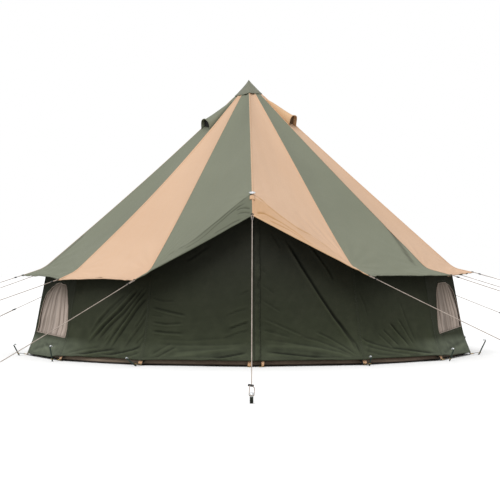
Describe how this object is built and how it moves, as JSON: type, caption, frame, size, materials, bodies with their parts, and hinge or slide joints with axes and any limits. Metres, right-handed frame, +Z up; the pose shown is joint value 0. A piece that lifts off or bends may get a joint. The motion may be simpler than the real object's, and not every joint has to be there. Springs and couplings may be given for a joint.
{
  "type": "bell tent",
  "caption": "Cotton bell tent in two-tone gores on a centre pole, with an A-frame door, mesh windows, roof vents, groundsheet and pegged guy lines.",
  "frame": {"origin": "middle of the groundsheet's underside, on the ground below the centre pole", "axes": "+Z up along the centre pole, the door faces -Y, +X to the right as seen from in front of the door"},
  "size_m": [8.664, 9.6569, 2.5813],
  "materials": {
    "roof_green": "matt grey-green cotton canvas",
    "roof_tan": "matt tan cotton canvas",
    "wall_olive": "dark olive cotton canvas in shade",
    "window_mesh": "fine beige insect mesh",
    "groundsheet": "brown coated groundsheet",
    "pole_steel": "galvanised steel tube",
    "guy_rope": "off-white braided rope with steel pegs"
  },
  "bodies": {
    "root": {"apex_cap": "roof_green", "roof_panel_right_1": "roof_tan", "roof_panel_right_2": "roof_green", "roof_panel_right_3": "roof_tan", "roof_panel_right_4": "roof_green", "roof_panel_right_5": "roof_tan", "roof_panel_right_6": "roof_green", "roof_panel_right_7": "roof_tan", "roof_panel_left_1": "roof_green", "roof_panel_left_2": "roof_tan", "roof_panel_left_3": "roof_green", "roof_panel_left_4": "roof_tan", "roof_panel_left_5": "roof_green", "roof_panel_left_6": "roof_tan", "roof_panel_left_7": "roof_green", "vent_hood_right_front": "roof_tan", "vent_hood_right_rear": "roof_tan", "vent_hood_left_front": "roof_green", "vent_hood_left_rear": "roof_green", "door_left": "wall_olive", "door_right": "wall_olive", "wall_right_2": "wall_olive", "wall_right_3": "wall_olive", "wall_right_4": "wall_olive", "wall_right_5": "wall_olive", "wall_right_back": "wall_olive", "wall_left_2": "wall_olive", "wall_left_3": "wall_olive", "wall_left_4": "wall_olive", "wall_left_5": "wall_olive", "wall_left_back": "wall_olive", "window_mesh_right_front": "window_mesh", "window_mesh_right_rear": "window_mesh", "window_mesh_left_front": "window_mesh", "window_mesh_left_rear": "window_mesh", "groundsheet": "groundsheet", "centre_pole": "pole_steel", "door_frame": "pole_steel", "guy_line_front": "guy_rope", "guy_line_back": "guy_rope", "guy_line_right_1": "guy_rope", "guy_line_right_2": "guy_rope", "guy_line_right_3": "guy_rope", "guy_line_right_4": "guy_rope", "guy_line_right_5": "guy_rope", "guy_line_right_6": "guy_rope", "guy_line_left_1": "guy_rope", "guy_line_left_2": "guy_rope", "guy_line_left_3": "guy_rope", "guy_line_left_4": "guy_rope", "guy_line_left_5": "guy_rope", "guy_line_left_6": "guy_rope"}
  },
  "joints": []
}
